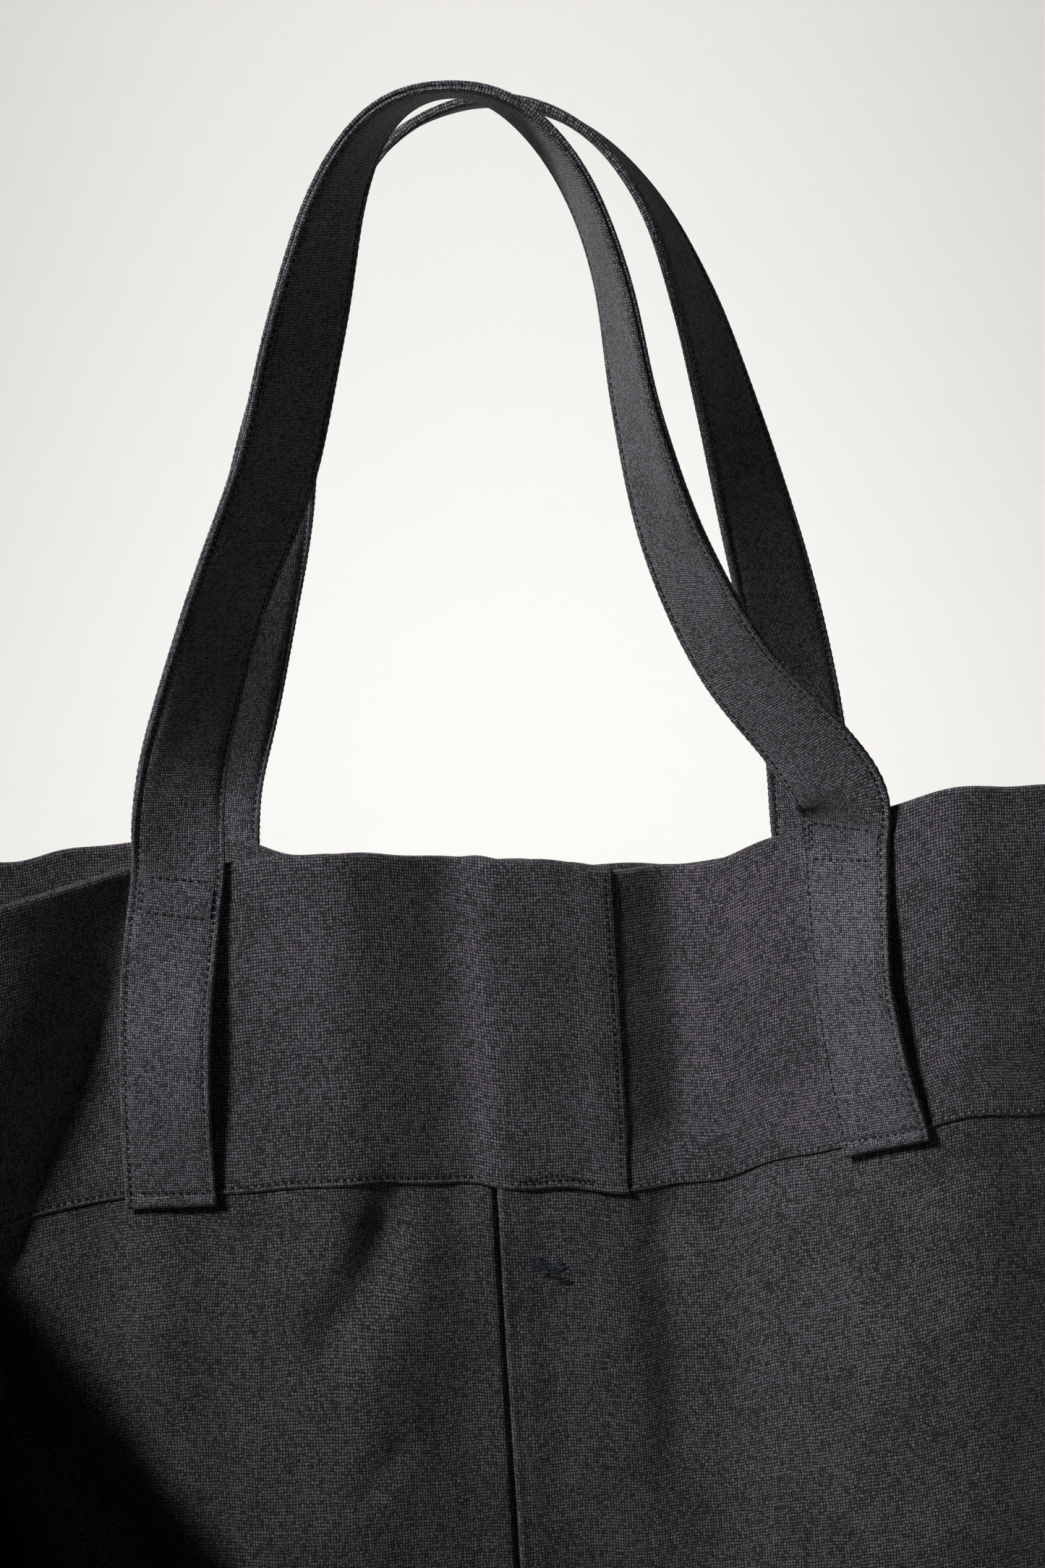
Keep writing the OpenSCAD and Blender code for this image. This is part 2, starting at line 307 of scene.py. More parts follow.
def settled(points):
    """The wall's points after it has settled for a moment as simulated cloth with a little slack."""
    scene = bpy.context.scene
    rows = np.round(np.linspace(0, V_COUNT - 1, SETTLE_ROWS)).astype(int)
    columns = np.arange(0, U_COUNT, U_COUNT // SETTLE_COLUMNS)
    start = points[np.ix_(rows, columns)]
    at = np.arange(start[..., 0].size).reshape(start.shape[:2])
    right = np.roll(at, -1, axis=1)
    faces = quads(at[:-1], right[:-1], right[1:], at[1:])
    mesh = bpy.data.meshes.new("settling_wall")
    mesh.from_pydata((start.reshape(-1, 3) * MM).tolist(), [], faces.tolist())
    thing = placed("settling_wall", mesh)

    u, v = np.meshgrid(u_grid[columns], v_levels[rows])
    band = ease((v - BAND_LOW + 8) / 8)
    held = np.maximum(mix(0.05, 0.18, band), ease((16 - v) / 10))
    slack = ease((v - 30) / 60) * mix(1, 0.35, band)
    for name, weights in (("held", held), ("slack", slack)):
        group = thing.vertex_groups.new(name=name)
        for index, weight in enumerate(weights.ravel()):
            group.add([index], float(weight), "REPLACE")

    cloth = thing.modifiers.new("settle", "CLOTH")
    settings = cloth.settings
    settings.quality = 6
    settings.mass = 0.2
    settings.tension_stiffness = 150
    settings.compression_stiffness = 150
    settings.shear_stiffness = 10
    settings.bending_stiffness = 0.05
    settings.vertex_group_mass = "held"
    settings.pin_stiffness = 1.0
    settings.vertex_group_shrink = "slack"
    settings.shrink_min = 0.0
    settings.shrink_max = -SLACK
    settings.effector_weights.gravity = 0.05
    cloth.collision_settings.use_collision = False
    cloth.point_cache.frame_start = 1
    cloth.point_cache.frame_end = SETTLE_STEPS
    for step in range(1, SETTLE_STEPS + 1):
        scene.frame_set(step)
    shape = thing.evaluated_get(bpy.context.evaluated_depsgraph_get()).data
    after = np.empty(at.size * 3, np.float32)
    shape.vertices.foreach_get("co", after)
    scene.frame_set(1)
    bpy.data.objects.remove(thing)
    bpy.data.meshes.remove(mesh)

    moved = after.reshape(start.shape).astype(float) / MM - start
    far = np.linalg.norm(moved, axis=-1, keepdims=True)
    moved *= SETTLE_CAP * np.tanh(far / SETTLE_CAP) / np.maximum(far, 1e-6)
    return points + spread_out(moved, rows, columns)


def spread_out(moved, rows, columns):
    """Values on the coarse grid of the simulation, smoothly between its points on the wall's grid."""
    tall = np.stack([[np.interp(np.arange(V_COUNT), rows, moved[:, c, k]) for c in range(len(columns))]
                     for k in range(3)], -1).transpose(1, 0, 2)
    closed = np.concatenate([tall, tall[:, :1]], axis=1)
    stops = np.append(columns, U_COUNT)
    wide = np.stack([[np.interp(np.arange(U_COUNT), stops, closed[j, :, k]) for j in range(V_COUNT)]
                     for k in range(3)], -1)
    for _ in range(3):
        wide = (np.roll(wide, 2, axis=1) + 2 * wide + np.roll(wide, -2, axis=1)) / 4
        wide[1:-1] = (wide[:-2] + 2 * wide[1:-1] + wide[2:]) / 4
    return wide


wall_points = displaced_wall()
wall_points = settled(wall_points)


def wall_normals(points):
    along = np.roll(points, -1, axis=1) - np.roll(points, 1, axis=1)
    up = np.gradient(points, axis=0)
    normal = unit(np.cross(along, up))
    for _ in range(2):
        normal = unit(np.roll(normal, 1, axis=1) + normal + np.roll(normal, -1, axis=1))
    return normal


wall_outward = wall_normals(wall_points)


def lengths_round():
    """Length along the cloth from the middle of the front, for each level and each step round the bag."""
    steps = np.linalg.norm(np.roll(wall_points, -1, axis=1) - wall_points, axis=-1)
    return np.concatenate([np.zeros((V_COUNT, 1)), np.cumsum(steps, axis=1)], axis=1)


wall_lengths = lengths_round()


def cloth_length(u, v):
    """Length along the cloth at cloth coordinates, so that a deep fold doesn't stretch the weave."""
    turns = np.floor(u / PERIMETER)
    a = u / U_STEP - turns * U_COUNT
    b = np.clip(v, 0, RIM) / V_STEP
    i = np.minimum(a.astype(int), U_COUNT - 1)
    j = np.minimum(b.astype(int), V_COUNT - 2)

    def at(row):
        return mix(wall_lengths[row, i], wall_lengths[row, i + 1], a - i) + turns * wall_lengths[row, -1]

    return mix(at(j), at(j + 1), b - j)


def sample(table, u, v):
    """Value of a wall table at cloth coordinates, between its grid points."""
    a = (np.asarray(u, float) / U_STEP) % U_COUNT
    b = np.clip(np.asarray(v, float), 0, RIM) / V_STEP
    i = np.floor(a).astype(int) % U_COUNT
    j = np.minimum(np.floor(b).astype(int), V_COUNT - 2)
    s = (a - np.floor(a))[..., None]
    t = (b - j)[..., None]
    i2 = (i + 1) % U_COUNT
    low = table[j, i] * (1 - s) + table[j, i2] * s
    high = table[j + 1, i] * (1 - s) + table[j + 1, i2] * s
    return low * (1 - t) + high * t


def wall(u, v, out):
    """Point in space at cloth coordinates, out millimetres from the skin, and straight up above the rim."""
    u, v, out = np.broadcast_arrays(np.asarray(u, float), np.asarray(v, float), np.asarray(out, float))
    p = sample(wall_points, u, v) + sample(wall_outward, u, v) * out[..., None]
    p[..., 2] += np.maximum(v - RIM, 0)
    return p


def u_at_x(x, side):
    """Cloth coordinate on the rim where it passes a given x."""
    row = wall_points[-1]
    on_side = np.sign(row[:, 1]) == side
    k = np.where(on_side, np.abs(row[:, 0] - x), 1e6).argmin()
    return float(u_grid[k])


# ---- mesh making

def mesh_object(name, points, faces, uvs, material):
    """Object from points in millimetres, faces, and one (u, v) in millimetres for each face corner."""
    mesh = bpy.data.meshes.new(name)
    mesh.from_pydata((np.asarray(points) * MM).tolist(), [], faces)
    layer = mesh.uv_layers.new(name="weave")
    layer.data.foreach_set("uv", np.asarray(uvs, np.float32).ravel())
    mesh.polygons.foreach_set("use_smooth", [True] * len(mesh.polygons))
    mesh.materials.append(material)
    mesh.update()
    return placed(name, mesh)


def slab(name, inner, outer, u, v, material):
    """Closed cloth piece between two grids of points. u and v give the grid's cloth coordinates."""
    rows, cols = u.shape
    count = rows * cols
    at = np.arange(count).reshape(rows, cols)

    sheet_out = quads(at[:-1, :-1], at[:-1, 1:], at[1:, 1:], at[1:, :-1]) + count
    sheet_in = quads(at[:-1, :-1], at[1:, :-1], at[1:, 1:], at[:-1, 1:])
    ring = np.concatenate([at[0, :-1], at[:-1, -1], at[-1, :0:-1], at[:0:-1, 0]])
    after = np.roll(ring, -1)
    rim_faces = quads(ring, after, after + count, ring + count)
    faces = np.concatenate([sheet_out, sheet_in, rim_faces])
    points = np.concatenate([inner.reshape(-1, 3), outer.reshape(-1, 3)])
    flat = np.stack([cloth_length(u, v).ravel(), v.ravel()], -1)
    both = np.concatenate([flat, flat])
    return mesh_object(name, points, faces.tolist(), both[faces.ravel()], material)


def rounded(distance, radius):
    """Share of its thickness that a folded edge has at a distance in from the edge."""
    t = np.clip(1 - distance / radius, 0, 1)
    return np.sqrt(np.maximum(1 - t * t, 0.02))


def edge_samples(start, end, step, radius):
    """Even samples with closer ones at both ends, where a folded edge turns over."""
    near = radius * np.array([0, 0.15, 0.4, 0.75])
    middle = np.linspace(start + radius, end - radius, max(2, int(abs(end - start) / step)))
    return np.concatenate([start + near, middle, (end - near)[::-1]])


def edge_share(folded, u, v, radius):
    """Share of its thickness that cloth on a grid has near its folded edges: l left, r right, b bottom."""
    share = np.ones_like(u)
    for edge, distance in (("l", u - u.min()), ("r", u.max() - u), ("b", v - v.min())):
        if edge in folded:
            share = np.minimum(share, rounded(distance, radius))
    return share


def cloth_piece(name, us, vs, inside, outside, material, folded, radius=FOLD_RADIUS):
    """Slab laid on the wall. inside and outside are numbers or rules of (u, v)."""
    u, v = np.meshgrid(us, vs)
    low = inside(u, v) if callable(inside) else np.full_like(u, inside)
    high = outside(u, v) if callable(outside) else np.full_like(u, outside)
    middle = (low + high) / 2
    half = (high - low) / 2 * edge_share(folded, u, v, radius)
    return slab(name, wall(u, v, middle - half), wall(u, v, middle + half), u, v, material)


# ---- materials

class Graph:
    """Short names for making a material's nodes."""

    def __init__(self, name):
        self.material = bpy.data.materials.new(name)
        self.material.use_nodes = True
        self.tree = self.material.node_tree
        self.shader = self.tree.nodes["Principled BSDF"]

    def node(self, kind, **settings):
        n = self.tree.nodes.new(kind)
        for key, value in settings.items():
            setattr(n, key, value)
        return n

    def feed(self, socket, value):
        if isinstance(value, bpy.types.NodeSocket):
            self.tree.links.new(value, socket)
        else:
            socket.default_value = value

    def math(self, operation, a, b=0.0):
        n = self.node("ShaderNodeMath", operation=operation)
        self.feed(n.inputs[0], a)
        self.feed(n.inputs[1], b)
        return n.outputs[0]

    def times(self, a, b):
        return self.math("MULTIPLY", a, b)

    def moved(self, vector, offset):
        n = self.node("ShaderNodeVectorMath", operation="ADD")
        self.feed(n.inputs[0], vector)
        n.inputs[1].default_value = offset
        return n.outputs[0]

    def pair(self, x, y):
        n = self.node("ShaderNodeCombineXYZ")
        self.feed(n.inputs[0], x)
        self.feed(n.inputs[1], y)
        return n.outputs[0]

    def parts(self, vector):
        n = self.node("ShaderNodeSeparateXYZ")
        self.feed(n.inputs[0], vector)
        return n.outputs[0:3]

    def weave_place(self):
        return self.node("ShaderNodeUVMap", uv_map="weave").outputs["UV"]

    def noise(self, vector, scale, detail):
        n = self.node("ShaderNodeTexNoise")
        self.feed(n.inputs["Vector"], vector)
        n.inputs["Scale"].default_value = scale
        n.inputs["Detail"].default_value = detail
        return n.outputs["Fac"]

    def span(self, value, low, high, out_low, out_high):
        n = self.node("ShaderNodeMapRange")
        self.feed(n.inputs["Value"], value)
        for key, number in (("From Min", low), ("From Max", high), ("To Min", out_low), ("To Max", out_high)):
            n.inputs[key].default_value = number
        return n.outputs["Result"]

    def mix_color(self, factor, a, b):
        n = self.node("ShaderNodeMix", data_type="RGBA")
        self.feed(n.inputs[0], factor)
        self.feed(n.inputs[6], a if isinstance(a, bpy.types.NodeSocket) else (*a, 1))
        self.feed(n.inputs[7], b if isinstance(b, bpy.types.NodeSocket) else (*b, 1))
        return n.outputs[2]

    def bump(self, height, strength, depth):
        """Small relief, with its depth in millimetres."""
        n = self.node("ShaderNodeBump")
        n.inputs["Strength"].default_value = strength
        n.inputs["Distance"].default_value = depth * MM
        self.feed(n.inputs["Height"], height)
        self.feed(self.shader.inputs["Normal"], n.outputs[0])

    def surface(self, values):
        for key, value in values.items():
            self.feed(self.shader.inputs[key], value)


# Distance between neighbouring yarns in the bag's canvas, in millimetres
THREAD_PITCH = 0.92


def canvas_material(name, dark, light, crepe, seed, pitch=THREAD_PITCH):
    """Plain weave: threads over and under each other, uneven yarn and fibres; the yarns' crowns are painted
    pale, a painted highlight, and the gaps between them dark, painted shade.
    crepe is how far in millimetres the yarns wander from their rows over a short distance."""
    g = Graph(name)
    uv = g.weave_place()
    u, v, _ = g.parts(uv)
    where = g.moved(uv, (seed, seed * 1.7, seed))

    def drift(place):
        """How far the yarns wander from straight rows."""
        slow = g.span(g.noise(place, 0.22, 3), 0, 1, -0.55, 0.55)
        return g.math("ADD", slow, g.span(g.noise(place, 0.7, 1), 0, 1, -crepe, crepe))

    across = g.math("DIVIDE", g.math("ADD", u, drift(where)), pitch * 0.95)
    up = g.math("DIVIDE", g.math("ADD", v, drift(g.moved(where, (311, 97, 0)))), pitch * 1.05)

    wave_a = g.math("SINE", g.times(across, math.pi))
    wave_b = g.math("SINE", g.times(up, math.pi))
    lean = g.times(g.times(wave_a, wave_b), 0.48)
    warp = g.times(g.math("ABSOLUTE", wave_a), g.math("ADD", lean, 0.52))
    weft = g.times(g.math("ABSOLUTE", wave_b), g.math("SUBTRACT", 0.52, lean))
    height = g.math("MAXIMUM", warp, weft)
    on_top = g.math("GREATER_THAN", warp, weft)

    def yarn(index, along):
        """Unevenness of one yarn: a value for the yarn, and slubs along it."""
        return g.noise(g.pair(g.math("FLOOR", index), g.times(along, 0.35)), 1.7, 2)

    uneven = g.math("ADD", g.times(on_top, yarn(across, up)),
                    g.times(g.math("SUBTRACT", 1.0, on_top), yarn(up, across)))
    fibre = g.noise(where, 5.5, 2)
    cloudy = g.noise(where, 0.035, 3)
    chance = g.node("ShaderNodeTexWhiteNoise", noise_dimensions="2D")
    g.feed(chance.inputs["Vector"], g.pair(g.math("FLOOR", across), g.math("FLOOR", up)))
    # Pale crowns and dark gaps between the yarns: painted highlight and painted shade, scaled below by real
    # yarn unevenness.
    crown_highlight_and_yarn_share = g.math("POWER", g.math("ABSOLUTE", g.times(wave_a, wave_b)), 1.5)
    # Each unevenness scales the pale crowns' painted highlight: its value, the range it is read over, the
    # least and most share
    for value, low, high, least, most in (
            (chance.outputs["Value"], 0, 1, 0.3, 1.9), (uneven, 0.32, 0.68, 0.5, 1.5),
            (fibre, 0.32, 0.68, 0.0, 2.1), (cloudy, 0.3, 0.7, 0.7, 1.3)):
        crown_highlight_and_yarn_share = g.times(crown_highlight_and_yarn_share, g.span(value, low, high, least, most))
    tinted = tuple(channel * share for channel, share in zip(light, (1.06, 0.97, 1.0)))
    fleck = g.mix_color(g.span(g.noise(where, 0.6, 2), 0.35, 0.65, 0, 1), light, tinted)
    g.surface({"Base Color": g.mix_color(crown_highlight_and_yarn_share, dark, fleck), "Roughness": 0.82,
               "Specular IOR Level": 0.25, "Sheen Weight": 0.12, "Sheen Roughness": 0.5})
    g.bump(g.math("ADD", height, g.times(fibre, 0.35)), 0.9, 0.22)
    return g.material


def thread_material(name, dark, light, roughness):
    """Twisted sewing thread: slanting plies across its length."""
    g = Graph(name)
    u, v, _ = g.parts(g.weave_place())
    slant = g.math("ADD", g.times(u, 9.0), g.times(v, 6.0))
    ply = g.math("ABSOLUTE", g.math("SINE", slant))
    colour = g.mix_color(ply, dark, light)
    g.surface({"Base Color": colour, "Roughness": roughness, "Specular IOR Level": 0.4})
    g.bump(ply, 0.6, 0.06)
    return g.material


# Canvas colours: the first is the cloth darkened as painted shade between the yarns, the second the yarn
# colour with a painted highlight on its crowns.
body_canvas = canvas_material("body_canvas", (0.0065, 0.0065, 0.0076), (0.186, 0.188, 0.212), 0.4, 3.0)
band_canvas = canvas_material("band_canvas", (0.0072, 0.0068, 0.0083), (0.205, 0.196, 0.228), 0.2, 17.0)
strap_canvas = canvas_material("strap_canvas", (0.009, 0.0095, 0.0112), (0.262, 0.27, 0.308), 0.3, 29.0, 0.76)
dark_thread = thread_material("dark_thread", (0.002, 0.002, 0.0025), (0.008, 0.008, 0.009), 0.8)
navy_thread = thread_material("navy_thread", (0.012, 0.02, 0.036), (0.075, 0.11, 0.165), 0.38)
mend_thread = thread_material("mend_thread", (0.003, 0.005, 0.01), (0.028, 0.042, 0.07), 0.5)

# ---- walls

pieces = {}


def keep(name, thing, slot, *nodes):
    """Keeps a piece under a name and hides the nodes that it stands for, if any. The slot is not used."""
    if nodes:
        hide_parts(*nodes)
    pieces[name] = thing


# Spacing of the cloth's points round the bag and up it
U_FINE = 2.0
V_FINE = 2.5
wall_levels = np.concatenate([[0, 0.8, 1.8, 3], np.arange(5, RIM - 1, V_FINE), [RIM - 1]])


def turned_under(v):
    """How far the bottom of the wall curves in to meet the base."""
    curve_height = 3.2
    curve_depth = 2.6
    return curve_depth * (1 - np.sqrt(np.clip(1 - (1 - np.clip(v / curve_height, 0, 1)) ** 2, 0, 1)))


def body_panels():
    """Four body pieces. At the middle seams one panel is folded and laid over the other."""
    seam_lap = 9

    def seam_dip(u, seam_u):
        groove = 2.4 * bell(u - seam_u + 0.3, 1.2)
        return -1.2 * bell(u - seam_u, 5) - groove

    def under(start):
        return lambda u, v: start - turned_under(v) + seam_dip(u, SEAM_U)

    def over(seam_u, start):
        def rule(u, v):
            near = ease(1 - np.abs(u - seam_u) / 15)
            puff = 0.9 * bell(np.abs(u - seam_u) - 1.1, 1.1)
            return start + (CLOTH + GAP) * near + puff * (start > 0) - turned_under(v)
        return rule

    spans = {
        "front_left_panel": (-QUARTER, SEAM_U + seam_lap, None),
        "front_right_panel": (SEAM_U, QUARTER, SEAM_U),
        "back_left_panel": (-HALF, -QUARTER, None),
        "back_right_panel": (QUARTER, HALF + seam_lap, HALF + seam_lap),
    }
    for name, (start, end, seam) in spans.items():
        us = edge_samples(start, end, U_FINE / 2, FOLD_RADIUS)
        if name == "front_left_panel":
            # Closer points where the groove beside the front seam runs
            us = np.unique(np.concatenate([us, SEAM_U + np.linspace(-3.25, 1.75, 11)]))
        inside = under(0) if seam is None else over(seam, 0)
        outside = under(CLOTH) if seam is None else over(seam, CLOTH)
        folded = "" if seam is None else ("l" if name.startswith("front") else "r")
        piece = cloth_piece(name + "_cloth", us, wall_levels, inside, outside, body_canvas, folded)
        keep(name, piece, "body_canvas", name)


body_panels()


def over_rim(path, out):
    """Where cloth that is out from the skin goes as it rolls over the rim: height v and distance out."""
    start = RIM - 2
    centre = CLOTH / 2
    radius = out - centre
    angle = np.clip((path - start) / radius, 0, math.pi)
    down = np.maximum(path - start - math.pi * radius, 0)
    v = np.where(path < start, path, start + radius * np.sin(angle) - down)
    return v, np.where(path < start, out, centre + radius * np.cos(angle))


# Height of the row of stitches above the band's lower edge
BAND_ROW = 2.1


def band_edge_relief(height):
    """The band's lower edge is puffed under its row of stitches and pulled in along the row."""
    return 0.5 * bell(height - 0.9, 0.8) - 0.28 * bell(height - BAND_ROW, 0.6)


def band_piece(name, us, low, inside, outside, folded):
    """Band piece that goes up the outside, over the rim and a little way down the inside.
    inside and outside are rules of u. Its lower edge is folded, and folded names the others that are."""
    roll_start = RIM - 2
    roll_end = roll_start + math.pi * 2.0
    near_edge = low + np.array([1.7, BAND_ROW, 2.5, 3.2])
    paths = np.concatenate([edge_samples(low, RIM - 3, V_FINE, FOLD_RADIUS)[:4], near_edge,
                            np.arange(low + 4.4, RIM - 3, V_FINE),
                            np.linspace(roll_start, roll_end, 14), roll_end + np.array([2, 5, 9])])
    u, path = np.meshgrid(us, paths)
    deep = inside(u)
    high = outside(u) + band_edge_relief(path - low)
    middle = (deep + high) / 2
    half = (high - deep) / 2 * edge_share("b" + folded, u, path, FOLD_RADIUS)
    grids = []
    for out in (middle - half, middle + half):
        v, away = over_rim(path, out)
        p = wall(u, np.minimum(v, RIM), away)
        p[..., 2] += np.maximum(v - RIM, 0)
        grids.append(p)
    return slab(name, grids[0], grids[1], u, path, band_canvas)


def bands():
    """The band round the rim. Its left end is folded and laps over its right end on the front."""
    def hem(u):
        return ease((u - LAP_TO + 12) / 4)

    def raised(u):
        """The lap over the right end, and the body's middle seam that shows through as a faint ridge."""
        step = (LAP_IN - BAND_IN) * ease((u - LAP_FROM + 5) / 7) + 0.5 * hem(u)
        return step + 0.5 * bell(u - SEAM_U - 2, 3.5)

    def left_in(u):
        return BAND_IN + raised(u) - 0.35 * hem(u)

    def left_out(u):
        return BAND_OUT + raised(u)

    def level(start):
        return lambda u: start + 0 * u

    flat = (level(BAND_IN), level(BAND_OUT))
    for name, start, end, low, rules, folded, node in (
            ("band_left", -QUARTER, LAP_TO, BAND_LOW, (left_in, left_out), "r", "front_band_left"),
            ("band_right", LAP_FROM, QUARTER, BAND_LOW + 0.5, flat, "l", "front_band_right"),
            ("band_back", QUARTER, PERIMETER - QUARTER, BAND_LOW, flat, "", "back_band")):
        us = edge_samples(start, end, U_FINE, FOLD_RADIUS)
        keep(name, band_piece(name + "_cloth", us, low, *rules, folded), "band_canvas", node)


bands()


def facings():
    levels = edge_samples(BAND_LOW, RIM - 12, V_FINE * 2, 1.0)
    for name, start in (("front_facing", -QUARTER), ("back_facing", QUARTER)):
        end = start + HALF
        us = np.linspace(start, end, int((end - start) / (U_FINE * 1.5)))
        piece = cloth_piece(name + "_cloth", us, levels, -GAP - BAND_CLOTH, -GAP, band_canvas, "b", 1.0)
        keep(name, piece, "band_canvas", name)


facings()


def base():
    """Base cloth: a flat floor with its edge turned up inside the walls."""
    turned_up = 8
    ring_count = 240
    us = np.linspace(0, PERIMETER, ring_count, endpoint=False)
    edge = wall(us, 0 * us, -BASE_GAP - 2.2)[:, :2]
    lowest = 0.05
    thick = 1.1
    rings = []
    floor_shares = (0.12, 0.3, 0.5, 0.7, 0.85, 0.94, 0.985, 1.0)
    for share in floor_shares:
        rise = 0.25 * share**6
        rings.append(np.column_stack([edge * share, np.full(ring_count, lowest + rise)]))
    for height in (0.8, 2.0, 4.5, turned_up):
        side = wall(us, 0 * us + height, -BASE_GAP)
        out = ease(height / 3)
        rings.append(np.column_stack([mix(edge, side[:, :2], out), np.full(ring_count, height)]))
    low = np.array(rings)
    top = low.copy()
    floor_count = len(floor_shares)
    top[:, :, 2] += np.array([thick] * floor_count + [thick, 0.9, 0.4, 0.0])[:, None]
    top[floor_count:, :, :2] += unit(-edge)[None] * np.array([0.5, 0.9, thick, thick])[:, None, None]
    count = ring_count * len(rings)
    centres = [[0, 0, lowest], [0, 0, lowest + thick]]
    points = np.concatenate([low.reshape(-1, 3), top.reshape(-1, 3), centres])
    at = np.arange(count).reshape(len(rings), ring_count)
    nxt = np.roll(at, -1, axis=1)
    under = quads(at[:-1], at[1:], nxt[1:], nxt[:-1])
    over = quads(at[:-1], nxt[:-1], nxt[1:], at[1:]) + count
    rim_faces = quads(at[-1], at[-1] + count, nxt[-1] + count, nxt[-1])
    faces = np.concatenate([under, over, rim_faces]).tolist()
    for a, b in zip(at[0].tolist(), nxt[0].tolist()):
        faces.append([2 * count, a, b])
        faces.append([2 * count + 1, b + count, a + count])
    uvs = [(x, y + (z if abs(y) > 30 else 0)) for face in faces for x, y, z in points[face]]
    piece = mesh_object("base_cloth", points, faces, uvs, body_canvas)
    keep("base", piece, "body_canvas", "base_panel")


base()

# ---- straps

# Middle line of each handle between its feet: x, y, height above the rim, twist in degrees
FRONT_RISE = [
    (-100, -38.5, 16, 16), (-95, -43, 40, 30), (-80, -58, 80, 40),
    (-61, -77, 120, 40), (-48, -95, 160, 46), (-36, -106, 196, 64), (-22, -110, 216, 80),
    (-5, -111, 221, 90),
    (11, -110, 216, 84), (26, -105, 198, 79), (36, -96, 170, 76), (42, -80, 132, 68),
    (52, -60, 92, 52), (68, -47, 56, 40), (88, -41, 30, 28), (99, -38.5, 12, 16),
]
BACK_RISE = [
    (-94, 33, 18, -8), (-84, 20, 48, -24), (-74, 4, 84, -14),
    (-64, -14, 124, 26), (-52, -28, 166, 62), (-38, -37, 196, 78), (-18, -41, 216, 86),
    (8, -42, 222, 90),
    (32, -40, 213, 86), (50, -33, 192, 76), (62, -22, 164, 62), (71, -8, 134, 50),
    (79, 4, 102, 36), (87, 17, 68, 24), (93, 28, 38, 16), (96, 35, 14, 12),
]


def spline(points, per_span):
    """Smooth curve through points of any number of values."""
    p = np.asarray(points, float)
    padded = np.concatenate([p[:1], p, p[-1:]])
    out = []
    for i in range(len(p) - 1):
        a, b, c, d = padded[i : i + 4]
        t = np.linspace(0, 1, per_span, endpoint=False)[:, None]
        bend = (2 * a - 5 * b + 4 * c - d) * t**2
        out.append(0.5 * (2 * b + (c - a) * t + bend + (3 * b - a - 3 * c + d) * t**3))
    out.append(p[-1:])
    return np.concatenate(out)


def running_mean(values, half):
    kernel = np.ones(2 * half + 1) / (2 * half + 1)
    return np.stack([np.convolve(column, kernel, mode="same") for column in values.T], -1)


def between(d, distance, values):
    """Values of a line's points at distances along it."""
    return np.stack([np.interp(d, distance, column) for column in values.T], -1)


def tail_line(side, hand):
    """Middle line and directions of a sewn strap end, from its hem up to the rim."""
    foot_u = u_at_x(hand * FOOT_X[side], side)
    outwards = hand * (1 if side == FRONT else -1)
    v = np.arange(TAIL_LOW, RIM + 0.1, 1.5)
    down = (RIM - v) / (RIM - TAIL_LOW)
    u = foot_u + outwards * TAIL_SPLAY * down - TAIL_BOW * np.sin(math.pi * down)
    half = STRAP_WIDTH / 2 - 1
    tilt = 9
    edges = [wall(u + s * outwards * half, v, STRAP_MID) for s in (-1, 1)]
    middle = (edges[0] + edges[1]) / 2
    bulge = wall(u, v, STRAP_MID)
    thick = unit(sample(wall_outward, u, v))
    middle = middle + thick * np.maximum(0, np.sum((bulge - middle) * thick, -1))[:, None]
    wide = unit(edges[1] - edges[0])
    if side == FRONT:
        # Between hem and box stitching, the right edge of each end lifts off the cloth
        free = np.sin(np.clip((v - TAIL_LOW - 4) / (RIM - TAIL_LOW - 22), 0, 1) * math.pi)
        turn = np.radians(hand * tilt * free)
        pivot = -hand * STRAP_WIDTH / 2
        tilted = wide * np.cos(turn)[:, None] + thick * np.sin(turn)[:, None]
        middle = middle + (wide - tilted) * pivot
        wide = tilted
    return middle, wide


def loop_line(side, start, end, start_wide, end_wide):
    """Middle line and directions of a handle loop, between the tops of its sewn ends."""
    rise = np.array(FRONT_RISE if side == FRONT else BACK_RISE, float)
    rise[:, 2] += RIM
    twists = []
    for at, wide, hand in ((start, start_wide, -1), (end, end_wide, 1)):
        twists.append(math.degrees(math.atan2(wide[1] * side, wide[0] * hand)))
    first = [*start, twists[0]]
    last = [*end, twists[1]]
    line = spline(np.vstack([first, rise, last]), 14)
    p = line[:, :3]
    along = unit(np.gradient(p, axis=0))
    camera_side = np.array([0.0, -1.0, 0.0])
    forward = unit(camera_side - along * (along @ camera_side)[:, None])
    across = np.cross(forward, along)
    twist = np.radians(line[:, 3])[:, None]
    wide = across * np.cos(twist) - side * forward * np.sin(twist)
    return p, wide


def strap_line(side):
    """The whole strap as one even line: positions, width and thickness directions, and the length so far."""
    left, left_wide = tail_line(side, -1)
    right, right_wide = tail_line(side, 1)
    loop, loop_wide = loop_line(side, left[-1], right[-1], left_wide[-1], right_wide[-1])
    p = np.concatenate([left[:-1], loop, right[:-1][::-1]])
    wide = np.concatenate([left_wide[:-1], loop_wide, right_wide[:-1][::-1]])
    distance = length_along(p)
    step = 0.625
    even = np.arange(0, distance[-1], step)
    p = between(even, distance, p)
    wide = between(even, distance, wide)
    reach = 8
    inner = slice(reach, -reach)
    for _ in range(3):
        p[inner] = running_mean(p, reach)[inner]
        wide[inner] = running_mean(wide, reach)[inner]
    along = unit(np.gradient(p, axis=0))
    wide = unit(wide - along * np.sum(along * wide, -1)[:, None])
    thick = np.cross(along, wide) * -side
    return p, wide, thick, even


